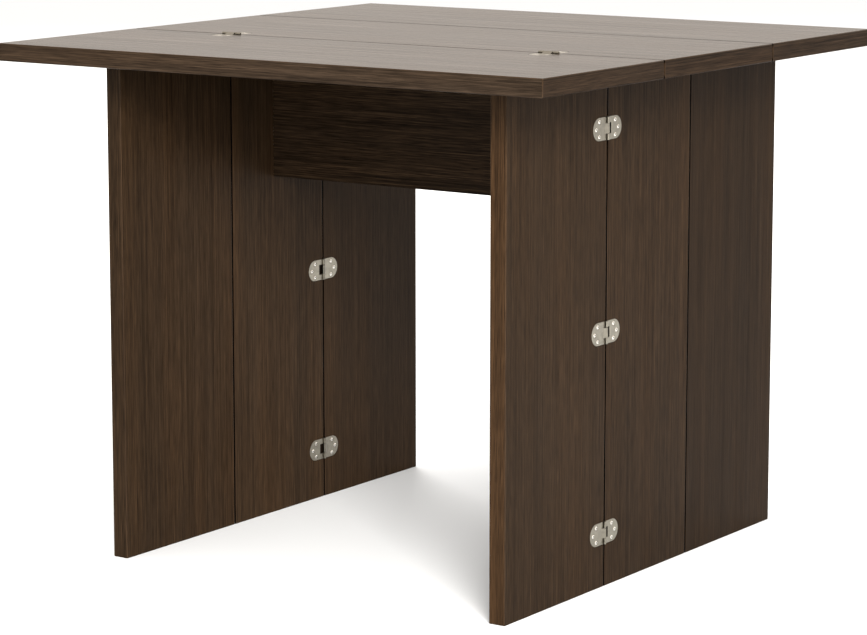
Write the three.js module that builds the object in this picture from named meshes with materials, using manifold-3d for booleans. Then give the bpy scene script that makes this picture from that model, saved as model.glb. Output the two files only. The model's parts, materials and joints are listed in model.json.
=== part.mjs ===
// A gateleg folding table of veneered boards, in millimetres, +Z up.
//
// The top is three boards side by side: a fixed middle board, a front leaf that folds up
// and over onto it, and a rear leaf on hinges underneath. Each of the two legs is three
// upright boards: a fixed middle one, a front one that swings outwards and a rear one that
// swings inwards behind the apron. The apron joins the two middle leg boards.
//
// The origin is on the floor under the centre of the open top. X runs along the apron with
// the right leg at +X, and the front of the table faces -Y.

import * as THREE from "three";
import { mergeVertices } from "three/addons/utils/BufferGeometryUtils.js";
import Module from "manifold-3d";

// Top boards
const TABLE_HEIGHT = 740;
const TOP_WIDTH = 900;
const TOP_DEPTH = 900;
const TOP_THICKNESS = 25;
const MIDDLE_TOP_DEPTH = 298;

// Leg boards
const LEG_OUTER_X = 334.5;
const LEG_THICKNESS = 25;
const LEG_CENTRE_Y = 11;
const LEG_MIDDLE_DEPTH = 224;
const LEG_SWING_DEPTH = 251;
const SWING_CLEARANCE = 1;

// Apron and the angle brackets that hold the top down
const APRON_HEIGHT = 200;
const APRON_THICKNESS = 25;
const BRACKET_FLANGE = 30;
const BRACKET_THICKNESS = 3;
const BRACKET_LENGTH = 60;
const BRACKET_CENTRE_Y = 70;
const BRACKET_HOLE_RADIUS = 2.3;
const BRACKET_HOLE_SPACING = 40;

// Fits and edges
const SEAM_GAP = 2;
const TOUCH_GAP = 0.3;
const EDGE_RADIUS = 1.2;
const CORNER_RADIUS = 2;
const EDGE_SEGMENTS = 1;
const MERGE_TOLERANCE = 1e-4;

// Round-ended flush hinges
const HINGE_REACH = 37;
const HINGE_WIDTH = 32;
const HINGE_SINK = 0.1;
const HINGE_DEPTH = 2.2;
const BARREL_RADIUS = 1.9;
const AXIS_PROUD = 1.1;
const PIN_RADIUS = 0.8;
const BORE_RADIUS = 1.1;
const CENTRE_KNUCKLE = 14;
const KNUCKLE_GAP = 0.4;
const FIXED_PLATE = { notch: 10, ramp: 2 };
const MOVING_PLATE = { notch: 2.4, ramp: 7 };
const SCREW_HOLE_RADIUS = 2.2;
const SCREW_PAIR = { reach: 20.5, spread: 10.2 };
const END_SCREW_REACH = 28.5;
const ROUND_END_SEGMENTS = 5;
const BARREL_SEGMENTS = 12;
const BORE_SEGMENTS = 8;
const HOLE_SEGMENTS = 6;

// Where the hinges sit along their seams
const FRONT_LEAF_HINGE_X = 270;
const REAR_LEAF_HINGE_X = 392;
const LEG_HINGE_HEIGHTS = { lower: 76, centre: 357, upper: 638 };

// Sizes that follow from the ones above
const TOP_UNDERSIDE = TABLE_HEIGHT - TOP_THICKNESS;
const TOP_SEAM_Y = (MIDDLE_TOP_DEPTH + SEAM_GAP) / 2;
const LEAF_DEPTH = (TOP_DEPTH - MIDDLE_TOP_DEPTH) / 2 - SEAM_GAP;
const LEAF_CENTRE_Y = (TOP_DEPTH - LEAF_DEPTH) / 2;
const LEG_INNER_X = LEG_OUTER_X - LEG_THICKNESS;
const LEG_CENTRE_X = (LEG_OUTER_X + LEG_INNER_X) / 2;
const LEG_SEAM_OFFSET = (LEG_MIDDLE_DEPTH + SEAM_GAP) / 2;
const LEG_SWING_OFFSET = (LEG_MIDDLE_DEPTH + LEG_SWING_DEPTH) / 2 + SEAM_GAP;
const FIXED_LEG_HEIGHT = TOP_UNDERSIDE - TOUCH_GAP;
const SWING_LEG_HEIGHT = TOP_UNDERSIDE - SWING_CLEARANCE;
const OUTER_KNUCKLE = (HINGE_WIDTH - CENTRE_KNUCKLE) / 2 - KNUCKLE_GAP;

// A board's own axes as it lies flat, stands across the table, or stands along its side:
// its own X is its length, its own Y its width and its own Z its thickness.
const AXIS = {
  x: new THREE.Vector3(1, 0, 0),
  y: new THREE.Vector3(0, 1, 0),
  z: new THREE.Vector3(0, 0, 1),
};
const LYING = new THREE.Matrix4();
const ACROSS = new THREE.Matrix4().makeBasis(AXIS.x, AXIS.z, AXIS.y.clone().negate());
const ALONG_SIDE = new THREE.Matrix4().makeBasis(AXIS.y, AXIS.z, AXIS.x);

const manifold = await Module();
manifold.setup();

function toSolid(geometry) {
  const flat = geometry.index ? geometry.toNonIndexed() : geometry.clone();
  flat.deleteAttribute("normal");
  flat.deleteAttribute("uv");
  const merged = mergeVertices(flat, MERGE_TOLERANCE);
  const vertProperties = merged.attributes.position.array;
  const triVerts = new Uint32Array(merged.index.array);
  return new manifold.Manifold(new manifold.Mesh({ numProp: 3, vertProperties, triVerts }));
}

function toGeometry(solid) {
  const { vertProperties, triVerts } = solid.getMesh();
  const geometry = new THREE.BufferGeometry();
  geometry.setAttribute("position", new THREE.BufferAttribute(vertProperties, 3));
  geometry.setIndex(new THREE.BufferAttribute(triVerts, 1));
  const flat = geometry.toNonIndexed();
  flat.computeVertexNormals();
  return flat;
}

function oakVeneer() {
  return new THREE.MeshStandardMaterial({ color: 0x463c32, roughness: 0.5, metalness: 0 });
}

function satinNickel() {
  return new THREE.MeshStandardMaterial({ color: 0x968e80, roughness: 0.35, metalness: 1 });
}

function zincSteel() {
  return new THREE.MeshStandardMaterial({ color: 0x8f9294, roughness: 0.45, metalness: 1 });
}

// A closed cylinder along its own Y axis.
function rod(radius, length, segments) {
  return new THREE.CylinderGeometry(radius, radius, length, segments);
}

// A rectangle with rounded corners, centred on its origin.
function roundedRectangle(width, height) {
  const x = width / 2 - CORNER_RADIUS;
  const y = height / 2 - CORNER_RADIUS;
  const shape = new THREE.Shape();
  shape.absarc(x, y, CORNER_RADIUS, 0, Math.PI / 2);
  shape.absarc(-x, y, CORNER_RADIUS, Math.PI / 2, Math.PI);
  shape.absarc(-x, -y, CORNER_RADIUS, Math.PI, 1.5 * Math.PI);
  shape.absarc(x, -y, CORNER_RADIUS, 1.5 * Math.PI, 2 * Math.PI);
  return shape;
}

// A board with rounded edges, centred on its own origin.
function boardGeometry(length, width, thickness) {
  const flatDepth = thickness - 2 * EDGE_RADIUS;
  const geometry = new THREE.ExtrudeGeometry(roundedRectangle(length, width), {
    depth: flatDepth,
    curveSegments: EDGE_SEGMENTS,
    bevelThickness: EDGE_RADIUS,
    bevelSize: EDGE_RADIUS,
    bevelOffset: -EDGE_RADIUS,
    bevelSegments: 2 * EDGE_SEGMENTS,
  });
  geometry.translate(0, 0, -flatDepth / 2);
  return geometry;
}

// The mortise of one hinge, in the hinge's own axes: one round-ended slot across the seam.
function mortiseGeometry() {
  const radius = HINGE_WIDTH / 2 + TOUCH_GAP;
  const x = HINGE_REACH + TOUCH_GAP - radius;
  const slot = new THREE.Shape();
  slot.absarc(x, 0, radius, -Math.PI / 2, Math.PI / 2);
  slot.absarc(-x, 0, radius, Math.PI / 2, 1.5 * Math.PI);
  const depth = HINGE_DEPTH + TOUCH_GAP;
  const above = BARREL_RADIUS + AXIS_PROUD;
  const geometry = new THREE.ExtrudeGeometry(slot, {
    depth: depth + above,
    curveSegments: ROUND_END_SEGMENTS,
    bevelEnabled: false,
  });
  geometry.translate(0, 0, -depth);
  return geometry;
}

// A board at a place in the table, with a mortise for each hinge that crosses its edges.
function board(name, size, axes, centre, hinges) {
  const place = axes.clone().setPosition(centre);
  const toBoard = place.clone().invert();
  let solid = toSolid(boardGeometry(...size));
  for (const hinge of hinges) {
    const cutter = mortiseGeometry().applyMatrix4(toBoard.clone().multiply(hinge.place));
    solid = solid.subtract(toSolid(cutter));
  }
  const mesh = new THREE.Mesh(toGeometry(solid), oakVeneer());
  mesh.name = name;
  mesh.applyMatrix4(place);
  return mesh;
}

// A hinge's own axes: X points to the board that moves, Y runs along the pin and Z points
// out of the boards' faces. Its origin is on the face, in the middle of the seam.
function hinge(name, origin, toMoving, outward) {
  const alongPin = outward.clone().cross(toMoving);
  const place = new THREE.Matrix4().makeBasis(toMoving, alongPin, outward);
  return { name, place: place.setPosition(origin) };
}

// The outline of a hinge plate that reaches along +X, with tongues up to the pin's axis
// over the stretches [from, to] of Y, a notch beside them, and three screw holes.
function plateOutline(tongues, notch) {
  const half = HINGE_WIDTH / 2;
  const outline = new THREE.Shape();
  outline.absarc(HINGE_REACH - half, 0, half, -Math.PI / 2, Math.PI / 2);
  let y = half;
  for (const [from, to] of tongues) {
    if (to < y) {
      outline.lineTo(notch, y);
      outline.lineTo(notch, to);
    }
    outline.lineTo(0, to);
    outline.lineTo(0, from);
    y = from;
  }
  if (y > -half) {
    outline.lineTo(notch, y);
    outline.lineTo(notch, -half);
  }
  outline.closePath();
  const holes = [
    [SCREW_PAIR.reach, SCREW_PAIR.spread],
    [END_SCREW_REACH, 0],
    [SCREW_PAIR.reach, -SCREW_PAIR.spread],
  ];
  for (const [holeX, holeY] of holes) {
    const ring = [];
    for (let i = 0; i < HOLE_SEGMENTS; i++) {
      const turn = (2 * Math.PI * i) / HOLE_SEGMENTS;
      const x = holeX + SCREW_HOLE_RADIUS * Math.cos(turn);
      ring.push(new THREE.Vector2(x, holeY + SCREW_HOLE_RADIUS * Math.sin(turn)));
    }
    outline.holes.push(new THREE.Path(ring));
  }
  return outline;
}

// The climb of a tongue from its plate to the top of the barrel, over [from, to] of Y.
function rampGeometry(from, to, ramp) {
  const profile = new THREE.Shape();
  profile.moveTo(0, -HINGE_DEPTH);
  profile.lineTo(ramp, -HINGE_DEPTH);
  profile.lineTo(ramp, -HINGE_SINK);
  profile.lineTo(0, AXIS_PROUD + BARREL_RADIUS);
  profile.closePath();
  const geometry = new THREE.ExtrudeGeometry(profile, { depth: to - from, bevelEnabled: false });
  geometry.rotateX(Math.PI / 2);
  geometry.translate(0, to, 0);
  return geometry;
}

// A hinge plate with a knuckle rolled up from each tongue, bored for the pin.
function plateGeometry(tongues, { notch, ramp }) {
  const plate = new THREE.ExtrudeGeometry(plateOutline(tongues, notch), {
    depth: HINGE_DEPTH - HINGE_SINK,
    curveSegments: ROUND_END_SEGMENTS,
    bevelEnabled: false,
  });
  plate.translate(0, 0, -HINGE_DEPTH);
  let solid = toSolid(plate);
  for (const [from, to] of tongues) {
    const knuckle = rod(BARREL_RADIUS, to - from, BARREL_SEGMENTS);
    knuckle.translate(0, (from + to) / 2, AXIS_PROUD);
    solid = solid.add(toSolid(rampGeometry(from, to, ramp))).add(toSolid(knuckle));
  }
  const bore = rod(BORE_RADIUS, 2 * HINGE_WIDTH, BORE_SEGMENTS);
  bore.translate(0, 0, AXIS_PROUD);
  return toGeometry(solid.subtract(toSolid(bore)));
}

// A hinge's three pieces: the plate on the fixed board holds the two outer knuckles, the
// plate on the moving board the central one, and the pin runs through all three.
function hingePieces({ name, place }) {
  const half = HINGE_WIDTH / 2;
  const outerTongues = [
    [half - OUTER_KNUCKLE, half],
    [-half, OUTER_KNUCKLE - half],
  ];
  const centreTongue = [[-CENTRE_KNUCKLE / 2, CENTRE_KNUCKLE / 2]];
  const fixed = new THREE.Mesh(plateGeometry(outerTongues, FIXED_PLATE), satinNickel());
  fixed.name = name + "_fixed_plate";
  fixed.rotation.z = Math.PI;
  const moving = new THREE.Mesh(plateGeometry(centreTongue, MOVING_PLATE), satinNickel());
  moving.name = name + "_moving_plate";
  const pinLength = HINGE_WIDTH - 2 * TOUCH_GAP;
  const pin = new THREE.Mesh(rod(PIN_RADIUS, pinLength, BORE_SEGMENTS), satinNickel());
  pin.name = name + "_pin";
  pin.position.z = AXIS_PROUD;
  const group = new THREE.Group();
  group.name = name;
  group.add(fixed, moving, pin);
  group.applyMatrix4(place);
  return group;
}

// An angle bracket in the corner of a leg board and the top, drilled for two screws a flange.
function topBracket(name, side) {
  const flange = BRACKET_FLANGE;
  const outline = new THREE.Shape();
  outline.moveTo(0, 0);
  outline.lineTo(0, -flange);
  outline.lineTo(-BRACKET_THICKNESS, -flange);
  outline.lineTo(-BRACKET_THICKNESS, -BRACKET_THICKNESS);
  outline.lineTo(-flange, -BRACKET_THICKNESS);
  outline.lineTo(-flange, 0);
  outline.closePath();
  const angle = new THREE.ExtrudeGeometry(outline, { depth: BRACKET_LENGTH, bevelEnabled: false });
  angle.translate(0, 0, -BRACKET_LENGTH / 2);
  let solid = toSolid(angle);
  const flangeMiddle = -(flange + BRACKET_THICKNESS) / 2;
  for (const along of [-BRACKET_HOLE_SPACING / 2, BRACKET_HOLE_SPACING / 2]) {
    const throughTopFlange = rod(BRACKET_HOLE_RADIUS, 3 * BRACKET_THICKNESS, HOLE_SEGMENTS);
    throughTopFlange.translate(flangeMiddle, 0, along);
    const throughLegFlange = rod(BRACKET_HOLE_RADIUS, 3 * BRACKET_THICKNESS, HOLE_SEGMENTS);
    throughLegFlange.rotateZ(Math.PI / 2);
    throughLegFlange.translate(0, flangeMiddle, along);
    solid = solid.subtract(toSolid(throughTopFlange)).subtract(toSolid(throughLegFlange));
  }
  const mesh = new THREE.Mesh(toGeometry(solid), zincSteel());
  mesh.name = name;
  // The outline's X and Y run out along the top and up the leg, and its length along Y.
  const acrossTop = new THREE.Vector3(side, 0, 0);
  const alongLeg = new THREE.Vector3(0, -side, 0);
  const place = new THREE.Matrix4().makeBasis(acrossTop, AXIS.z, alongLeg);
  place.setPosition(side * (LEG_INNER_X - TOUCH_GAP), BRACKET_CENTRE_Y, TOP_UNDERSIDE - TOUCH_GAP);
  mesh.applyMatrix4(place);
  return mesh;
}

// The top: the front leaf's hinges lie in its upper face, the rear leaf's underneath.
function tableTop() {
  const group = new THREE.Group();
  group.name = "top";
  const front = [];
  const rear = [];
  const towardFront = AXIS.y.clone().negate();
  const down = AXIS.z.clone().negate();
  for (const [end, side] of [["left", -1], ["right", 1]]) {
    const frontOrigin = new THREE.Vector3(side * FRONT_LEAF_HINGE_X, -TOP_SEAM_Y, TABLE_HEIGHT);
    front.push(hinge("front_leaf_hinge_" + end, frontOrigin, towardFront, AXIS.z));
    const rearOrigin = new THREE.Vector3(side * REAR_LEAF_HINGE_X, TOP_SEAM_Y, TOP_UNDERSIDE);
    rear.push(hinge("rear_leaf_hinge_" + end, rearOrigin, AXIS.y, down));
  }
  const middleZ = TABLE_HEIGHT - TOP_THICKNESS / 2;
  const middleSize = [TOP_WIDTH, MIDDLE_TOP_DEPTH, TOP_THICKNESS];
  const leafSize = [TOP_WIDTH, LEAF_DEPTH, TOP_THICKNESS];
  const middleCentre = new THREE.Vector3(0, 0, middleZ);
  const frontCentre = new THREE.Vector3(0, -LEAF_CENTRE_Y, middleZ);
  const rearCentre = new THREE.Vector3(0, LEAF_CENTRE_Y, middleZ);
  group.add(board("middle_top_board", middleSize, LYING, middleCentre, [...front, ...rear]));
  group.add(board("front_leaf", leafSize, LYING, frontCentre, front));
  group.add(board("rear_leaf", leafSize, LYING, rearCentre, rear));
  group.add(...[...front, ...rear].map(hingePieces));
  return group;
}

// One leg: the front board's hinges lie in the outer faces, the rear board's in the inner.
function leg(name, side) {
  const group = new THREE.Group();
  group.name = name;
  const front = [];
  const rear = [];
  const outward = new THREE.Vector3(side, 0, 0);
  const inward = new THREE.Vector3(-side, 0, 0);
  const towardFront = AXIS.y.clone().negate();
  for (const [level, z] of Object.entries(LEG_HINGE_HEIGHTS)) {
    const frontY = LEG_CENTRE_Y - LEG_SEAM_OFFSET;
    const frontOrigin = new THREE.Vector3(side * LEG_OUTER_X, frontY, z);
    front.push(hinge(name + "_front_hinge_" + level, frontOrigin, towardFront, outward));
    const rearY = LEG_CENTRE_Y + LEG_SEAM_OFFSET;
    const rearOrigin = new THREE.Vector3(side * LEG_INNER_X, rearY, z);
    rear.push(hinge(name + "_rear_hinge_" + level, rearOrigin, AXIS.y, inward));
  }
  const middleSize = [LEG_MIDDLE_DEPTH, FIXED_LEG_HEIGHT, LEG_THICKNESS];
  const swingSize = [LEG_SWING_DEPTH, SWING_LEG_HEIGHT, LEG_THICKNESS];
  const x = side * LEG_CENTRE_X;
  const middleCentre = new THREE.Vector3(x, LEG_CENTRE_Y, FIXED_LEG_HEIGHT / 2);
  const frontCentre = new THREE.Vector3(x, LEG_CENTRE_Y - LEG_SWING_OFFSET, SWING_LEG_HEIGHT / 2);
  const rearCentre = new THREE.Vector3(x, LEG_CENTRE_Y + LEG_SWING_OFFSET, SWING_LEG_HEIGHT / 2);
  group.add(board(name + "_middle_board", middleSize, ALONG_SIDE, middleCentre, [...front, ...rear]));
  group.add(board(name + "_front_board", swingSize, ALONG_SIDE, frontCentre, front));
  group.add(board(name + "_rear_board", swingSize, ALONG_SIDE, rearCentre, rear));
  group.add(...[...front, ...rear].map(hingePieces));
  return group;
}

// The apron stands between the middle leg boards, close under the top.
function apron() {
  const length = 2 * (LEG_INNER_X - TOUCH_GAP);
  const z = TOP_UNDERSIDE - TOUCH_GAP - APRON_HEIGHT / 2;
  const centre = new THREE.Vector3(0, LEG_CENTRE_Y, z);
  return board("apron", [length, APRON_HEIGHT, APRON_THICKNESS], ACROSS, centre, []);
}

const table = new THREE.Group();
table.name = "gateleg_table";
table.add(tableTop());
table.add(leg("left_leg", -1));
table.add(leg("right_leg", 1));
table.add(apron());
table.add(topBracket("left_top_bracket", -1));
table.add(topBracket("right_top_bracket", 1));

export default table;
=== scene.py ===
# The finished look of the gateleg table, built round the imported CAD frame, in metres.
import json
import math
import random

import bmesh
import bpy
from mathutils import Matrix, Vector


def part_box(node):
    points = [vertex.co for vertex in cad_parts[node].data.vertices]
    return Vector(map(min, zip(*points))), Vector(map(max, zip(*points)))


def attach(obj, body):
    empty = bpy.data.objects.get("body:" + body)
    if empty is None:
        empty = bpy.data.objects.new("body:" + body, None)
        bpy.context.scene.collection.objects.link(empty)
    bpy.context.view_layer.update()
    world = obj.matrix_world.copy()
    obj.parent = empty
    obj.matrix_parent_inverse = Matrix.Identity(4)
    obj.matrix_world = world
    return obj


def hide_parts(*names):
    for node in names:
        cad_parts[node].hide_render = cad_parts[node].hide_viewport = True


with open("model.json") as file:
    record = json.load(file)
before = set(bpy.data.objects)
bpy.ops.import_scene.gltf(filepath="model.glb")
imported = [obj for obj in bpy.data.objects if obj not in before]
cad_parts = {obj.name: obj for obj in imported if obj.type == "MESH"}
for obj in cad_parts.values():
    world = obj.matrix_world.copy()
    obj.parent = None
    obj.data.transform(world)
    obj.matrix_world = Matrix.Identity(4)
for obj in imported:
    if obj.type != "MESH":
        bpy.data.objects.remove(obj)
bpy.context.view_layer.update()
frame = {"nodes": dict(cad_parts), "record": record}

MM = 0.001
AXES = "xyz"
NODES = frame["nodes"]
BODIES = frame["record"]["behaviour"]["bodies"]
BODY_OF = {node: body for body, members in BODIES.items() for node in members}

# Boards. Two boards closer than WIDEST_JOINT stand edge to edge, and a hinge seated within
# MORTISE_REACH of a board is let into it. A face is flat when its normal leans to its axis by
# FLAT, lies inside a mortise when it is deeper than PAST_EDGE, and belongs to the underside,
# where no light catches its arris and so its arris gets no painted highlight, when its normal's
# height is under UNDERSIDE.
EDGE_RADIUS = 1.2 * MM
EDGE_SEGMENTS = 3
PAST_EDGE = 1.5 * EDGE_RADIUS
WIDEST_JOINT = 3 * MM
MORTISE_REACH = 5 * MM
FLAT = 0.999
UNDERSIDE = -0.2
BOARD_PARTS = ("veneer", "first_lip", "second_lip", "mortise", "arris", "joint")

# Hinges, in millimetres in a hinge's own axes
AXIS_PROUD = 1.1
PLATE_TOP = -0.1
PLATE_BOTTOM = -2.2
PLATE_RIM = 0.45
PLATE_RIM_STEPS = 2
BARREL_RADIUS = 1.9
PIN_RADIUS = 0.8
PIN_CHAMFER = 0.3
BORE_RADIUS = 0.95
CENTRE_KNUCKLE = 14
KNUCKLE_GAP = 0.4
KNUCKLE_CHAMFER = 0.25
FIXED_PLATE = {"notch": 10, "ramp": 2}
MOVING_PLATE = {"notch": 2.4, "ramp": 7}
MORTISE_GAP = 0.3
MORTISE_TOP = 2 * BARREL_RADIUS
SCREW_PLACES = ((20.5, 10.2), (28.5, 0), (20.5, -10.2))

# Countersunk and pan-head cross-head screws, in millimetres
SCREW_LENGTH = 16
SHANK_RADIUS = 1.5
TIP_RADIUS = 0.75 * SHANK_RADIUS
TIP_LENGTH = 4
HEAD_RADIUS = 3.1
HEAD_DEPTH = 1.5
HEAD_RIM = 0.1
HEAD_DOME = 0.7
HEAD_RISE = 0.3
SINK_CLEARANCE = 0.2
PAN_RADIUS = 3.6
PAN_HEIGHT = 2.2
PAN_DOME = 1.1
DOME_ANGLES = (90, 70, 50, 30, 15, 0)
HINGE_SCREW_SEED = 7
BRACKET_SCREW_SEED = 11

# The cross recess, in millimetres. It tapers, and the faces of a screw between its top and its
# floor, within its span, are its walls. The walls take a dark metal: painted shade in the recess.
CROSS_SPAN = 3.8
CROSS_WIDTH = 0.9
CROSS_DEEP_SPAN = 0.35 * CROSS_SPAN
CROSS_DEEP_WIDTH = 0.6 * CROSS_WIDTH
CROSS_DEPTH = 1.2
CROSS_TOP = -0.2
CROSS_FLOOR = -1.1 * CROSS_DEPTH

# Angle brackets under the top, in millimetres
BRACKET_THICKNESS = 3
BRACKET_BEND = 4.5
BRACKET_RIM = 0.4
BRACKET_RIM_SEGMENTS = 2
BRACKET_SCREW_SPACING = 40
BRACKET_HOLE_RADIUS = 2.3
DRILL_REACH = 9

# Steps round a curve, creases that stay sharp in degrees, and tolerances in a shape's own units
END_STEPS = 28
ROUND_STEPS = 32
BEND_STEPS = 8
CREASE = 35
SCREW_CREASE = 30
WELD = 1e-5
NEAR = 1e-4

# Camera
CAMERA_PLACE = (2.545, -3.770, 1.127)
CAMERA_AZIMUTH = 34.23
CAMERA_ELEVATION = 9.0
CAMERA_LENS = 131.9
CAMERA_SENSOR = 36
CAMERA_SHIFT_Y = -0.06
CAMERA_REACH = 200

# Floor and light
FLOOR_SIZE = 80.0
WORLD_STRENGTH = 1.0
WORLD_COLOUR = (1.2, 1.1, 1.0, 1)
LIGHT_COLOUR = (1.0, 0.92, 0.83)
LIGHT_AIM = Vector((0, 0, 0.45))
LIGHT_DISTANCE = 7.5
# Each panel: its name, azimuth, elevation, size and power, and whether it is the kind that only
# shows in reflections. The others only light surfaces, so that no gloss mirrors a hot lamp.
LIGHTS = (
    ("key", 42, 25, (2.4, 2.0), 920, False),
    ("low_key", 50, 12, (2.4, 1.6), 290, False),
    ("back_fill", 225, 35, (3.0, 3.0), 420, False),
    ("card", 44, 16, (3.0, 2.2), 55, True),
)


# ---------------------------------------------------------------- mesh helpers

def new_object(name, mesh):
    made = bpy.data.objects.new(name, mesh)
    bpy.context.scene.collection.objects.link(made)
    return made


def mesh_from(bm, name):
    bmesh.ops.recalc_face_normals(bm, faces=bm.faces)
    mesh = bpy.data.meshes.new(name)
    bm.to_mesh(mesh)
    bm.free()
    return mesh


def boolean(mesh, tool, operation):
    """A new mesh: mesh with tool taken away, or joined on."""
    body = new_object("boolean_body", mesh)
    other = new_object("boolean_tool", tool)
    cut = body.modifiers.new("cut", "BOOLEAN")
    cut.operation = operation
    cut.solver = "EXACT"
    cut.object = other
    depsgraph = bpy.context.evaluated_depsgraph_get()
    result = bpy.data.meshes.new_from_object(body.evaluated_get(depsgraph))
    bpy.data.objects.remove(body)
    bpy.data.objects.remove(other)
    return result


def round_edges(bm, edges, radius, segments):
    bmesh.ops.bevel(
        bm, geom=edges, offset=radius, segments=segments, profile=0.5, affect="EDGES",
    )


def extrude_outline(points, low, high, name):
    """A prism on an outline in the XY plane, from z = low to z = high."""
    bm = bmesh.new()
    bottom = bm.faces.new([bm.verts.new((x, y, low)) for x, y in points])
    grown = bmesh.ops.extrude_face_region(bm, geom=[bottom])
    top = [item for item in grown["geom"] if isinstance(item, bmesh.types.BMVert)]
    bmesh.ops.translate(bm, vec=(0, 0, high - low), verts=top)
    return mesh_from(bm, name)


def lathe(profile, steps, name):
    """A solid of revolution about Z from (radius, z) points: a closed loop, or ends on the axis."""
    bm = bmesh.new()
    verts = [bm.verts.new((radius, 0, z)) for radius, z in profile]
    edges = [bm.edges.new(pair) for pair in zip(verts, verts[1:])]
    bmesh.ops.spin(
        bm, geom=verts + edges, axis=(0, 0, 1), cent=(0, 0, 0),
        angle=2 * math.pi, steps=steps, use_duplicate=False,
    )
    bmesh.ops.remove_doubles(bm, verts=bm.verts, dist=WELD)
    return mesh_from(bm, name)


def on_circle(centre_x, centre_y, radius, angle):
    """The point of a circle at an angle in degrees."""
    turn = math.radians(angle)
    return (centre_x + radius * math.cos(turn), centre_y + radius * math.sin(turn))


def arc(centre_x, centre_y, radius, start, end, steps):
    """Points on an arc, angles in degrees."""
    angles = [start + (end - start) * i / steps for i in range(steps + 1)]
    return [on_circle(centre_x, centre_y, radius, angle) for angle in angles]


def merged(meshes, name):
    """One mesh holding copies of several."""
    bm = bmesh.new()
    for mesh in meshes:
        bm.from_mesh(mesh)
    return mesh_from(bm, name)


def moved(mesh, matrix):
    copy = mesh.copy()
    copy.transform(matrix)
    return copy


def shade_smooth(mesh, angle=CREASE):
    mesh.polygons.foreach_set("use_smooth", [True] * len(mesh.polygons))
    mesh.set_sharp_from_angle(angle=math.radians(angle))


def thin_axis(low, high):
    """The axis along which a box is thinnest."""
    size = high - low
    return min(range(3), key=lambda i: size[i])


def other_axes(axis):
    return [i for i in range(3) if i != axis]


def finish_piece(name, mesh, body, slot, materials, *nodes):
    """Puts a finished mesh, already in the row frame, on its body."""
    piece = new_object(name, mesh)
    for material in materials:
        mesh.materials.append(material)
    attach(piece, body)
    if nodes:
        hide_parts(*nodes)
    return piece


# ---------------------------------------------------------------- materials

class Shader:
    """A short way to write a node material."""

    def __init__(self, name):
        self.material = bpy.data.materials.new(name)
        self.material.use_nodes = True
        self.nodes = self.material.node_tree.nodes
        self.links = self.material.node_tree.links
        self.surface = self.nodes["Principled BSDF"]

    def add(self, kind, **settings):
        node = self.nodes.new(kind)
        for key, value in settings.items():
            setattr(node, key, value)
        return node

    def link(self, source, target):
        self.links.new(source, target)

    def set(self, socket, value):
        """Sets one of the surface's own sockets."""
        self.surface.inputs[socket].default_value = value

    def drive(self, socket, source):
        """Links a source to one of the surface's own sockets."""
        self.link(source, self.surface.inputs[socket])

    def coordinates(self, scale=(1, 1, 1), turn=(0, 0, 0), shift=(0, 0, 0)):
        """Object coordinates, turned, then stretched, then shifted."""
        place = self.add("ShaderNodeTexCoord")
        rotate = self.add("ShaderNodeMapping", vector_type="POINT")
        rotate.inputs["Rotation"].default_value = turn
        self.link(place.outputs["Object"], rotate.inputs["Vector"])
        stretch = self.add("ShaderNodeMapping", vector_type="POINT")
        stretch.inputs["Scale"].default_value = scale
        stretch.inputs["Location"].default_value = shift
        self.link(rotate.outputs["Vector"], stretch.inputs["Vector"])
        return stretch.outputs["Vector"]

    def across(self, axis, low, high):
        """From 0 to 1 as an object coordinate goes from low to high."""
        place = self.add("ShaderNodeTexCoord")
        split = self.add("ShaderNodeSeparateXYZ")
        self.link(place.outputs["Object"], split.inputs["Vector"])
        span = self.add("ShaderNodeMapRange")
        span.inputs["From Min"].default_value = low
        span.inputs["From Max"].default_value = high
        self.link(split.outputs[axis], span.inputs["Value"])
        return span.outputs["Result"]

    def noise(self, vector, scale, detail, roughness, distortion=0.0):
        node = self.add("ShaderNodeTexNoise")
        node.inputs["Scale"].default_value = scale
        node.inputs["Detail"].default_value = detail
        node.inputs["Roughness"].default_value = roughness
        node.inputs["Distortion"].default_value = distortion
        self.link(vector, node.inputs["Vector"])
        return node.outputs["Fac"]

    def ramp(self, value, *stops):
        """Colours, or greys, at positions along a value."""
        node = self.add("ShaderNodeValToRGB")
        ramp = node.color_ramp
        while len(ramp.elements) < len(stops):
            ramp.elements.new(0.5)
        for element, (position, colour) in zip(ramp.elements, stops):
            element.position = position
            grey = isinstance(colour, (int, float))
            element.color = (colour, colour, colour, 1) if grey else (*colour, 1)
        self.link(value, node.inputs["Fac"])
        return node.outputs["Color"]

    def multiply(self, factor, first, second):
        """The product of two colours. The node has sockets of many types, so its are looked up."""
        node = self.add("ShaderNodeMix", data_type="RGBA", blend_type="MULTIPLY")
        node.inputs["Factor"].default_value = factor
        colours = [socket for socket in node.inputs if socket.type == "RGBA"]
        for socket, source in zip(colours, (first, second)):
            self.link(source, socket)
        return [socket for socket in node.outputs if socket.type == "RGBA"][0]

    def bump(self, height, strength, distance):
        node = self.add("ShaderNodeBump")
        node.inputs["Strength"].default_value = strength
        node.inputs["Distance"].default_value = distance
        self.link(height, node.inputs["Height"])
        self.drive("Normal", node.outputs["Normal"])


# Which way a board's grain runs: the turn that brings that axis onto the texture's X.
GRAIN_TURN = {"x": (0, 0, 0), "y": (0, 0, math.radians(-90)), "z": (0, math.radians(90), 0)}

# Layers of the grain: scale along it and across it, detail, roughness and distortion
PATCHES = ((1.1, 13, 13), 2, 0.5, 0.0)
RINGS = ((0.7, 130, 130), 4, 0.6, 0.3)
LINES = ((3, 480, 480), 3, 0.6, 0.0)
PORES = ((28, 1000, 1000), 3, 0.6, 0.0)
# How far a layer takes the colour down and up at a contrast of 1, and the most it ever may
RING_DEPTH = 0.16
LINE_DEPTH = 0.4
PORE_DEPTH = 0.55
MOST_DEPTH = 0.9
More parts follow.
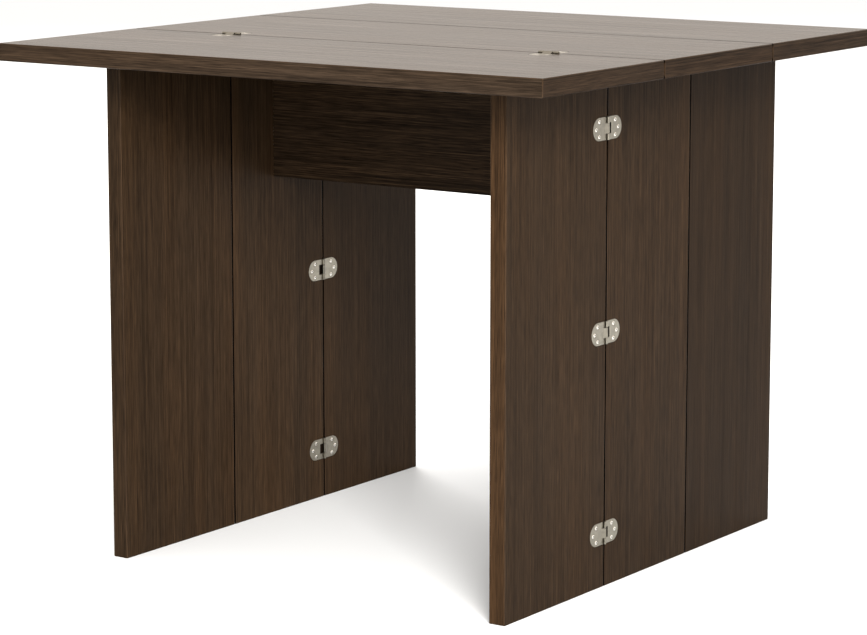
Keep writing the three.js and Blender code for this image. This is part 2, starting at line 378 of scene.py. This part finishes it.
# How far apart two seeds lie in the texture, and what is added to a board's seed for its parts
SEED_STEP = (3.7, 1.9, 2.3)
LIP_SEED = 20
ARRIS_SEED = 40
JOINT_SEED = 50

# Colours of the wood, and tints that scale them
VENEER = (0.0188, 0.0114, 0.0062)
FRONT_LIP = (0.0275, 0.0155, 0.0078)
TOP_FRONT_LIP = (0.0235, 0.0158, 0.0103)
TOP_SIDE_LIP = (0.0152, 0.0097, 0.0060)
# The bottom of a mortise: near black, painted shade in the recess.
MORTISE_SHADE_DARK = (0.004, 0.003, 0.002)
MORTISE_SHADE_PALE = (0.012, 0.008, 0.005)
COOL = (0.88, 0.91, 0.96)
WARM = (1.14, 1.08, 1.0)
# How much lighter an arris is than its board's veneer: a painted highlight along the edges, left off
# the underside.
ARRIS_HIGHLIGHT = 1.25
# Across a joint's face, from side to side: it is painted dark close to the board's two faces,
# painted shade in the seam between boards.
SEAM_PAINTED_SHADE = 0.03
JOINT_SHADE = ((0.13, SEAM_PAINTED_SHADE), (0.2, 1.0), (0.8, 1.0), (0.87, SEAM_PAINTED_SHADE))

# Finishes of the wood: roughness and gloss
MATT = (0.42, 0.024)
SATIN = (0.24, 0.085)
# Board: its veneer's strength and its grain's contrast, the colours of its front and side
# lips, and its face's finish. The strengths mix each board's own tone with painted light:
# lighter on the left leg's boards, darker on the right leg's, for how the lamps reach them.
TOP_BOARD = (1.0, 1.0, TOP_FRONT_LIP, TOP_SIDE_LIP, SATIN)
FINISH = {
    "middle_top_board": TOP_BOARD,
    "front_leaf": TOP_BOARD,
    "rear_leaf": TOP_BOARD,
    "apron": (1.03, 1.5, VENEER, VENEER, MATT),
    "left_leg_front_board": (1.12, 0.95, VENEER, VENEER, MATT),
    "left_leg_middle_board": (1.38, 0.95, VENEER, VENEER, MATT),
    "left_leg_rear_board": (1.37, 0.8, VENEER, VENEER, MATT),
    "right_leg_front_board": (0.99, 0.95, FRONT_LIP, VENEER, MATT),
    "right_leg_middle_board": (0.91, 1.0, VENEER, VENEER, MATT),
    "right_leg_rear_board": (0.73, 0.7, VENEER, VENEER, MATT),
}

# Metal: its bright and dull colours, its roughness and how far that varies, its grain's scale
METALS = {
    "satin_nickel": ((0.275, 0.255, 0.21), (0.215, 0.20, 0.165), 0.34, 0.08, 2600),
    "screw_steel": ((0.80, 0.78, 0.72), (0.66, 0.63, 0.57), 0.22, 0.06, 1800),
    # A dark metal for the walls of the cross recess: painted shade.
    "screw_recess": ((0.10, 0.09, 0.075), (0.05, 0.045, 0.04), 0.5, 0.08, 1800),
    "zinc_plate": ((0.62, 0.63, 0.65), (0.45, 0.46, 0.48), 0.38, 0.1, 900),
}


def tinted(colour, tint):
    """A colour with each of its channels scaled."""
    return tuple(channel * factor for channel, factor in zip(colour, tint))


def oak(name, grain, seed, colour, contrast, roughness, specular, seam_shade_borders=None):
    """Stained oak veneer: broad patches, growth lines, fine lines and open pores along the grain.

    Its last argument, (axis, low, high), darkens it beside the two faces that bound it along an
    axis: painted shade in a seam between boards.
    """
    wood = Shader(name)
    shift = tuple(seed * step for step in SEED_STEP)
    layers = []
    for scale, *look in (PATCHES, RINGS, LINES, PORES):
        place = wood.coordinates(scale, GRAIN_TURN[grain], shift)
        layers.append(wood.noise(place, 1.0, *look))
    patches, rings, lines, pores = layers
    cool = tinted(colour, COOL)
    warm = tinted(colour, WARM)
    tone = wood.ramp(patches, (0.32, cool), (0.5, colour), (0.68, warm))
    for layer, depth in ((rings, RING_DEPTH), (lines, LINE_DEPTH), (pores, PORE_DEPTH)):
        swing = min(depth * contrast, MOST_DEPTH)
        shade = wood.ramp(layer, (0.3, 1 - swing), (0.5, 1.0), (0.7, 1 + swing))
        tone = wood.multiply(1.0, tone, shade)
    # Painted shade: darker beside the faces that bound a joint, in the seam between boards.
    if seam_shade_borders:
        tone = wood.multiply(1.0, tone, wood.ramp(wood.across(*seam_shade_borders), *JOINT_SHADE))
    wood.drive("Base Color", tone)
    wood.drive("Roughness", wood.ramp(lines, (0.3, roughness + 0.08), (0.7, roughness - 0.04)))
    wood.bump(wood.ramp(pores, (0.34, 0.0), (0.46, 1.0)), strength=0.12, distance=0.15 * MM)
    wood.set("IOR", 1.5)
    wood.set("Specular IOR Level", specular)
    return wood.material


def metal(name):
    """Plated metal with a fine satin grain, faint cloudiness and duller patches."""
    colour, dull, roughness, spread, grain_scale = METALS[name]
    plate = Shader(name)
    cloud = plate.noise(plate.coordinates(), 160, detail=3, roughness=0.6)
    grain = plate.noise(plate.coordinates(), grain_scale, detail=4, roughness=0.7)
    tone = plate.ramp(cloud, (0.3, dull), (0.65, colour))
    tone = plate.multiply(0.35, tone, plate.ramp(grain, (0.3, 0.7), (0.7, 1.15)))
    plate.drive("Base Color", tone)
    plate.drive("Roughness", plate.ramp(grain, (0.3, roughness - spread), (0.7, roughness + spread)))
    plate.set("Metallic", 1.0)
    plate.bump(grain, strength=0.25, distance=0.05 * MM)
    return plate.material


def speckled(name, speck, dark, pale, roughness):
    """A dull material between two colours; speck = (scale, detail, roughness) of its noise."""
    dull = Shader(name)
    specks = dull.noise(dull.coordinates(), *speck)
    dull.drive("Base Color", dull.ramp(specks, (0.3, dark), (0.7, pale)))
    dull.set("Roughness", roughness)
    dull.set("Specular IOR Level", 0.1)
    return dull.material


def mortise_material():
    """The bottom of a mortise, painted near black as the shade in the recess."""
    return speckled("mortise_wood", (1500, 3, 0.6), MORTISE_SHADE_DARK, MORTISE_SHADE_PALE, 0.8)


def floor_material():
    return speckled("studio_floor", (0.4, 2, 0.5), (0.79, 0.85, 0.92), (0.80, 0.86, 0.93), 0.9)


# ---------------------------------------------------------------- hinges

def hinge_names():
    pins = [node for node in NODES if node.endswith("_pin")]
    return sorted(pin.removesuffix("_pin") for pin in pins)


def centre_of(node):
    low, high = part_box(node)
    return (low + high) / 2


def main_axis(vector):
    """The row axis, with its sign, that a vector leans to most."""
    index = max(range(3), key=lambda i: abs(vector[i]))
    axis = Vector((0, 0, 0))
    axis[index] = math.copysign(1, vector[index])
    return axis


def hinge_board(name):
    """The swinging board that a hinge carries."""
    stem = name.rsplit("_hinge", 1)[0]
    return stem if stem in NODES else stem + "_board"


def hinge_place(name):
    """From a hinge's own axes to the row: X to the moving board, Y along the pin, Z out."""
    pin = centre_of(name + "_pin")
    to_moving = main_axis(centre_of(name + "_moving_plate") - centre_of(name + "_fixed_plate"))
    thin = thin_axis(*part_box(name + "_moving_plate"))
    outward = Vector((0, 0, 0))
    outward[thin] = math.copysign(1, pin[thin] - centre_of(hinge_board(name))[thin])
    along = outward.cross(to_moving)
    basis = Matrix((to_moving, along, outward)).transposed().to_4x4()
    face = pin - outward * AXIS_PROUD * MM
    return Matrix.Translation(face) @ basis @ Matrix.Scale(MM, 4)


def hinge_size(name):
    """How far a plate reaches from the pin, and the hinge's width along it."""
    place = hinge_place(name)
    corners = [place.inverted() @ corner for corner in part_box(name + "_moving_plate")]
    reach = max(corner.x for corner in corners)
    width = abs(corners[0].y - corners[1].y)
    return reach, width


def slot_outline(reach, width):
    """A closed hinge's outline, round at both ends."""
    half = width / 2
    right = arc(reach - half, 0, half, -90, 90, END_STEPS)
    left = arc(half - reach, 0, half, 90, 270, END_STEPS)
    return right + left


def mortise_tool(reach, width):
    grow = MORTISE_GAP
    outline = slot_outline(reach + grow, width + 2 * grow)
    return extrude_outline(outline, PLATE_BOTTOM - grow, MORTISE_TOP, "mortise_tool")


def plate_outline(reach, width, tongues, notch):
    """A plate's outline: round at its free end, notched beside the tongues of its knuckles."""
    half = width / 2
    points = arc(reach - half, 0, half, -90, 90, END_STEPS)
    edge = half
    for start, end in tongues:
        if end < edge:
            points += [(notch, edge), (notch, end)]
        points += [(0, end), (0, start)]
        edge = start
    if edge > -half:
        points += [(notch, edge), (notch, -half)]
    return points


def along_y(mesh):
    """Turns a lathe's Z axis onto Y."""
    return moved(mesh, Matrix.Rotation(math.radians(-90), 4, "X"))


def rod(radius, start, end, chamfer):
    """A rod along Y with chamfered ends."""
    profile = [(0, start), (radius - chamfer, start), (radius, start + chamfer),
               (radius, end - chamfer), (radius - chamfer, end), (0, end)]
    return along_y(lathe(profile, ROUND_STEPS, "rod"))


def knuckle(start, end):
    """A tube round the pin's axis, over a stretch of Y."""
    rim = BARREL_RADIUS - KNUCKLE_CHAMFER
    profile = [(BORE_RADIUS, start), (rim, start), (BARREL_RADIUS, start + KNUCKLE_CHAMFER),
               (BARREL_RADIUS, end - KNUCKLE_CHAMFER), (rim, end), (BORE_RADIUS, end),
               (BORE_RADIUS, start)]
    tube = along_y(lathe(profile, ROUND_STEPS, "knuckle"))
    return moved(tube, Matrix.Translation((0, 0, AXIS_PROUD)))


def knuckle_ramp(start, end, ramp):
    """The climb of a tongue from its plate to its rolled knuckle, over a stretch of Y."""
    middle = (BARREL_RADIUS + BORE_RADIUS) / 2
    drop = AXIS_PROUD - PLATE_TOP
    tangent = math.acos(BARREL_RADIUS / math.hypot(ramp, drop)) - math.atan2(drop, ramp)
    touch = math.degrees(tangent)
    outline = [(0, PLATE_BOTTOM), (ramp, PLATE_BOTTOM), (ramp, PLATE_TOP)]
    outline += [on_circle(0, AXIS_PROUD, BARREL_RADIUS, touch)]
    outline += arc(0, AXIS_PROUD, middle, touch, -90, BEND_STEPS)
    climb = extrude_outline(outline, -end, -start, "ramp")
    return moved(climb, Matrix.Rotation(math.radians(90), 4, "X"))


def flat_plate(loops, name):
    """A plate with softened rims from an outline and the outlines of its holes."""
    curve = bpy.data.curves.new(name, "CURVE")
    curve.dimensions = "2D"
    curve.fill_mode = "BOTH"
    curve.extrude = (PLATE_TOP - PLATE_BOTTOM) / 2 - PLATE_RIM
    curve.bevel_depth = PLATE_RIM
    curve.bevel_resolution = PLATE_RIM_STEPS
    curve.offset = -PLATE_RIM
    for loop in loops:
        spline = curve.splines.new("POLY")
        spline.points.add(len(loop) - 1)
        for point, (x, y) in zip(spline.points, loop):
            point.co = (x, y, 0, 1)
        spline.use_cyclic_u = True
    holder = new_object(name, curve)
    depsgraph = bpy.context.evaluated_depsgraph_get()
    mesh = bpy.data.meshes.new_from_object(holder.evaluated_get(depsgraph))
    bpy.data.objects.remove(holder)
    bpy.data.curves.remove(curve)
    return moved(mesh, Matrix.Translation((0, 0, (PLATE_TOP + PLATE_BOTTOM) / 2)))


def plate_mesh(reach, width, tongues, notch, ramp):
    """A round-ended plate with three screw holes and a rolled knuckle on each tongue."""
    hole = HEAD_RADIUS + SINK_CLEARANCE
    loops = [plate_outline(reach, width, tongues, notch)]
    loops += [arc(x, y, hole, 0, 360, ROUND_STEPS)[:-1] for x, y in SCREW_PLACES]
    shells = [flat_plate(loops, "plate")]
    for start, end in tongues:
        shells += [knuckle(start, end), knuckle_ramp(start, end, ramp)]
    mesh = merged(shells, "plate")
    shade_smooth(mesh)
    return mesh


def cross_tool():
    """Two crossed tapered bars, the recess of a cross-head screw."""
    bars = []
    for turn in (0, 90):
        bm = bmesh.new()
        bmesh.ops.create_cube(bm, size=1)
        for vert in bm.verts:
            deep = vert.co.z < 0
            vert.co.x *= CROSS_DEEP_SPAN if deep else CROSS_SPAN
            vert.co.y *= CROSS_DEEP_WIDTH if deep else CROSS_WIDTH
            vert.co.z = -CROSS_DEPTH if deep else HEAD_DOME
        bars.append(moved(mesh_from(bm, "bar"), Matrix.Rotation(math.radians(turn), 4, "Z")))
    return boolean(bars[0], bars[1], "UNION")


def screw_mesh(head):
    """A wood screw with the top of its head at z = 0; head is its profile from the shank up."""
    tip = [(0, -SCREW_LENGTH), (TIP_RADIUS, TIP_LENGTH - SCREW_LENGTH)]
    mesh = boolean(lathe(tip + head, ROUND_STEPS, "screw"), cross_tool(), "DIFFERENCE")
    for face in mesh.polygons:
        across = math.hypot(face.center.x, face.center.y)
        in_cross = across < CROSS_SPAN / 2 and CROSS_FLOOR < face.center.z < CROSS_TOP
        # The recess walls take the second, dark material: painted shade.
        face.material_index = int(in_cross)
    shade_smooth(mesh, SCREW_CREASE)
    return mesh


def dome(radius, rise):
    """A shallow dome's profile from its rim up to the axis at z = 0."""
    turns = [math.radians(angle) for angle in DOME_ANGLES]
    return [(radius * math.sin(turn), rise * (math.cos(turn) - 1)) for turn in turns]


def countersunk_screw():
    cone = [(SHANK_RADIUS, -HEAD_DEPTH - HEAD_DOME), (HEAD_RADIUS, -HEAD_RIM - HEAD_DOME)]
    return screw_mesh(cone + dome(HEAD_RADIUS, HEAD_DOME))


def pan_head_screw():
    drum = [(SHANK_RADIUS, -PAN_HEIGHT), (PAN_RADIUS, -PAN_HEIGHT)]
    return screw_mesh(drum + dome(PAN_RADIUS, PAN_DOME))


def screw_set(screw, places, matrix, turns):
    """Copies of a screw at places in its holder's own axes, each turned its own way."""
    copies = []
    for place in places:
        spin = Matrix.Rotation(turns.uniform(0, math.pi / 2), 4, "Z")
        copies.append(moved(screw, place @ spin))
    joined = merged(copies, "screws")
    joined.transform(matrix)
    shade_smooth(joined, SCREW_CREASE)
    return joined


def build_hinges(nickel, screw_metals):
    names = hinge_names()
    reach, width = hinge_size(names[0])
    half = width / 2
    outer = (width - CENTRE_KNUCKLE) / 2 - KNUCKLE_GAP
    outer_tongues = [(half - outer, half), (-half, outer - half)]
    centre_tongue = [(-CENTRE_KNUCKLE / 2, CENTRE_KNUCKLE / 2)]
    fixed_plate = plate_mesh(reach, width, outer_tongues, **FIXED_PLATE)
    moving_plate = plate_mesh(reach, width, centre_tongue, **MOVING_PLATE)
    low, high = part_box(names[0] + "_pin")
    pin_half = max(high - low) / MM / 2
    pin = rod(PIN_RADIUS, -pin_half, pin_half, PIN_CHAMFER)
    shade_smooth(pin)
    screw = countersunk_screw()
    head_top = PLATE_TOP + HEAD_RISE
    screw_places = [Matrix.Translation((x, y, head_top)) for x, y in SCREW_PLACES]
    turns = random.Random(HINGE_SCREW_SEED)
    half_turn = Matrix.Rotation(math.pi, 4, "Z")
    for name in names:
        place = hinge_place(name)
        sides = (
            ("_fixed_plate", fixed_plate, place @ half_turn),
            ("_moving_plate", moving_plate, place),
        )
        for suffix, mesh, matrix in sides:
            node = name + suffix
            body = BODY_OF[node]
            plate = moved(mesh, matrix)
            finish_piece(node + "_finished", plate, body, "hinge_nickel", [nickel], node)
            screws = screw_set(screw, screw_places, matrix, turns)
            finish_piece(node + "_screws", screws, body, "hinge_nickel", screw_metals)
        node = name + "_pin"
        axle = moved(pin, place @ Matrix.Translation((0, 0, AXIS_PROUD)))
        finish_piece(node + "_finished", axle, BODY_OF[node], "hinge_nickel", [nickel], node)


# ---------------------------------------------------------------- boards

def board_mesh(low, high, tools):
    """A board with rounded arrises and its hinge mortises."""
    bm = bmesh.new()
    bmesh.ops.create_cube(bm, size=1)
    for vert in bm.verts:
        vert.co = Vector([high[i] if vert.co[i] > 0 else low[i] for i in range(3)])
    round_edges(bm, bm.edges[:], EDGE_RADIUS, EDGE_SEGMENTS)
    mesh = mesh_from(bm, "board")
    if tools:
        mesh = boolean(mesh, merged(tools, "mortises"), "DIFFERENCE")
    return mesh


def joint_sides(node, boards):
    """The sides of a board, as (axis, direction), that stand edge to edge with another board."""
    low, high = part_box(node)
    thin = thin_axis(low, high)
    found = set()
    for other in boards:
        other_low, other_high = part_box(other)
        if other == node or thin_axis(other_low, other_high) != thin:
            continue
        for i in other_axes(thin):
            gaps = ((1, other_low[i] - high[i]), (-1, low[i] - other_high[i]))
            if all(low[k] < other_high[k] and other_low[k] < high[k] for k in other_axes(i)):
                found |= {(i, side) for side, gap in gaps if 0 < gap < WIDEST_JOINT}
    return found


def paint_board(mesh, low, high, joints):
    """Gives each face its part of the board: see BOARD_PARTS."""
    thin = thin_axis(low, high)
    lips = dict(zip(other_axes(thin), ("first_lip", "second_lip")))
    for face in mesh.polygons:
        axis = max(range(3), key=lambda i: abs(face.normal[i]))
        depths = [min(face.center[i] - low[i], high[i] - face.center[i]) for i in range(3)]
        sunk = depths[axis] > PAST_EDGE or (min(depths) > EDGE_RADIUS and axis != thin)
        flat = abs(face.normal[axis]) > FLAT
        side = int(math.copysign(1, face.normal[axis]))
        if sunk:
            part = "mortise"
        # A side against another board is a joint, painted dark near its faces as the seam's shade.
        elif (axis, side) in joints:
            part = "joint"
        # An arris not on the underside is painted lighter than the veneer: a painted highlight.
        elif not flat and face.normal.z > UNDERSIDE:
            part = "arris"
        elif axis == thin:
            part = "veneer"
        else:
            part = lips[axis]
        face.material_index = BOARD_PARTS.index(part)
        face.use_smooth = not flat


def board_materials(node, seed, low, high, mortise):
    """A board's materials, in the order of BOARD_PARTS."""
    strength, contrast, front_lip, side_lip, finish = FINISH[node]
    grain = "z" if "leg" in node else "x"
    thin = thin_axis(low, high)
    first, second = other_axes(thin)
    lips = []
    for step, (axis, along) in enumerate(((first, second), (second, first))):
        colour = front_lip if AXES[axis] == "y" else side_lip
        lip_seed = seed + LIP_SEED + step
        lips.append(oak(f"{node}_lip_{AXES[axis]}", AXES[along], lip_seed, colour, 1.0, *MATT))
    # The strength scales the veneer for the board's own tone and for painted light.
    face_colour = tinted(VENEER, (strength,) * 3)
    face = oak(node + "_veneer", grain, seed, face_colour, contrast, *finish)
    # The arris is painted lighter than the veneer: a painted highlight, with a glossier finish.
    arris_highlight_colour = tinted(VENEER, (ARRIS_HIGHLIGHT * strength,) * 3)
    arris = oak(node + "_arris", grain, seed + ARRIS_SEED, arris_highlight_colour, 1.0, *SATIN)
    # A joint's side is painted dark beside the board's two faces: painted shade in the seam.
    seam_shade_borders = (thin, low[thin], high[thin])
    joint = oak(node + "_joint", grain, seed + JOINT_SEED, VENEER, 1.0, *MATT, seam_shade_borders)
    return [face, *lips, mortise, arris, joint]


def seated_in(point, low, high):
    """Whether a hinge's place is in a board, or close enough to be let into it."""
    return all(low[i] - MORTISE_REACH < point[i] < high[i] + MORTISE_REACH for i in range(3))


def build_boards(mortise):
    hinges = hinge_names()
    places = [hinge_place(name) for name in hinges]
    tool = mortise_tool(*hinge_size(hinges[0]))
    boards = sorted(node for node in NODES if node.endswith(("_board", "_leaf", "apron")))
    for seed, node in enumerate(boards, 1):
        low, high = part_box(node)
        seats = [place for place in places if seated_in(place.translation, low, high)]
        mesh = board_mesh(low, high, [moved(tool, place) for place in seats])
        paint_board(mesh, low, high, joint_sides(node, boards))
        materials = board_materials(node, seed, low, high, mortise)
        finish_piece(node + "_finished", mesh, BODY_OF[node], "oak_veneer", materials, node)


# ---------------------------------------------------------------- brackets

def bracket_place(low, high, side):
    """From a bracket's own axes to the row: X in from the leg, Y down from the top, Z along."""
    leg_face = high.x if side > 0 else low.x
    basis = Matrix(((-side, 0, 0), (0, 0, -1), (0, -side, 0))).transposed().to_4x4()
    corner = Vector((leg_face, (low.y + high.y) / 2, high.z))
    return Matrix.Translation(corner) @ basis @ Matrix.Scale(MM, 4)


def on_end(edge, half):
    """Whether an edge lies in the plane z = half or the plane z = -half."""
    first, second = [vert.co.z for vert in edge.verts]
    return abs(abs(first) - half) < NEAR and abs(first - second) < NEAR


def bracket_mesh(flange, length):
    """A bent angle with two holes in each flange."""
    thick = BRACKET_THICKNESS
    bend = BRACKET_BEND
    outline = arc(bend, bend, bend, 180, 270, BEND_STEPS) + [(flange, 0), (flange, thick)]
    outline += arc(bend, bend, bend - thick, 270, 180, BEND_STEPS) + [(thick, flange), (0, flange)]
    bm = bmesh.new()
    bm.from_mesh(extrude_outline(outline, -length / 2, length / 2, "bracket"))
    ends = [edge for edge in bm.edges if on_end(edge, length / 2)]
    round_edges(bm, ends, BRACKET_RIM, BRACKET_RIM_SEGMENTS)
    mesh = mesh_from(bm, "bracket")
    drill = lathe([(0, -DRILL_REACH), (BRACKET_HOLE_RADIUS, -DRILL_REACH),
                   (BRACKET_HOLE_RADIUS, DRILL_REACH), (0, DRILL_REACH)], ROUND_STEPS, "drill")
    for place in bracket_screw_places(flange):
        mesh = boolean(mesh, moved(drill, place), "DIFFERENCE")
    shade_smooth(mesh)
    return mesh


def bracket_screw_places(flange):
    """Where each screw goes into a flange, with its own Z out of the flange."""
    middle = (flange + BRACKET_THICKNESS) / 2
    quarter = math.radians(90)
    places = []
    for along in (-BRACKET_SCREW_SPACING / 2, BRACKET_SCREW_SPACING / 2):
        on_top = Matrix.Translation((middle, BRACKET_THICKNESS, along))
        places.append(on_top @ Matrix.Rotation(-quarter, 4, "X"))
        on_leg = Matrix.Translation((BRACKET_THICKNESS, middle, along))
        places.append(on_leg @ Matrix.Rotation(quarter, 4, "Y"))
    return places


def build_brackets(zinc, screw_metals):
    screw = pan_head_screw()
    raised = Matrix.Translation((0, 0, PAN_HEIGHT))
    turns = random.Random(BRACKET_SCREW_SEED)
    for node in sorted(node for node in NODES if node.endswith("_top_bracket")):
        low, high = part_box(node)
        place = bracket_place(low, high, math.copysign(1, low.x + high.x))
        flange = (high.z - low.z) / MM
        mesh = moved(bracket_mesh(flange, (high.y - low.y) / MM), place)
        finish_piece(node + "_finished", mesh, BODY_OF[node], "bracket_steel", [zinc], node)
        screw_places = [hole @ raised for hole in bracket_screw_places(flange)]
        screws = screw_set(screw, screw_places, place, turns)
        finish_piece(node + "_screws", screws, BODY_OF[node], "bracket_steel", screw_metals)


# ---------------------------------------------------------------- studio

def area_light(name, azimuth, elevation, size, power, only_reflected):
    """A soft panel aimed at the table; azimuth runs from the front (-Y) toward +X."""
    data = bpy.data.lights.new(name, "AREA")
    data.shape = "RECTANGLE"
    data.size, data.size_y = size
    data.energy = power
    data.color = LIGHT_COLOUR
    light = new_object(name, data)
    around = math.radians(azimuth)
    up = math.radians(elevation)
    flat = math.cos(up)
    toward = Vector((math.sin(around) * flat, -math.cos(around) * flat, math.sin(up)))
    light.location = LIGHT_AIM + LIGHT_DISTANCE * toward
    light.rotation_euler = toward.to_track_quat("Z", "Y").to_euler()
    light.visible_glossy = only_reflected
    light.visible_diffuse = not only_reflected


def build_camera():
    data = bpy.data.cameras.new("camera")
    data.sensor_width = CAMERA_SENSOR
    data.lens = CAMERA_LENS
    data.shift_y = CAMERA_SHIFT_Y
    data.clip_end = CAMERA_REACH
    camera = new_object("camera", data)
    camera.location = CAMERA_PLACE
    tilt = math.radians(90 - CAMERA_ELEVATION)
    camera.rotation_euler = (tilt, 0, math.radians(CAMERA_AZIMUTH))
    bpy.context.scene.camera = camera


def build_studio():
    """The pale floor, the soft surrounding light and the panels."""
    bm = bmesh.new()
    bmesh.ops.create_grid(bm, x_segments=1, y_segments=1, size=FLOOR_SIZE / 2)
    floor = new_object("floor", mesh_from(bm, "floor"))
    floor.data.materials.append(floor_material())

    world = bpy.data.worlds.new("studio")
    bpy.context.scene.world = world
    world.use_nodes = True
    background = world.node_tree.nodes["Background"]
    background.inputs["Color"].default_value = WORLD_COLOUR
    background.inputs["Strength"].default_value = WORLD_STRENGTH

    for light in LIGHTS:
        area_light(*light)
    bpy.context.scene.view_settings.view_transform = "Standard"


build_camera()
build_studio()
screw_metals = [metal("screw_steel"), metal("screw_recess")]
build_boards(mortise_material())
build_hinges(metal("satin_nickel"), screw_metals)
build_brackets(metal("zinc_plate"), screw_metals)
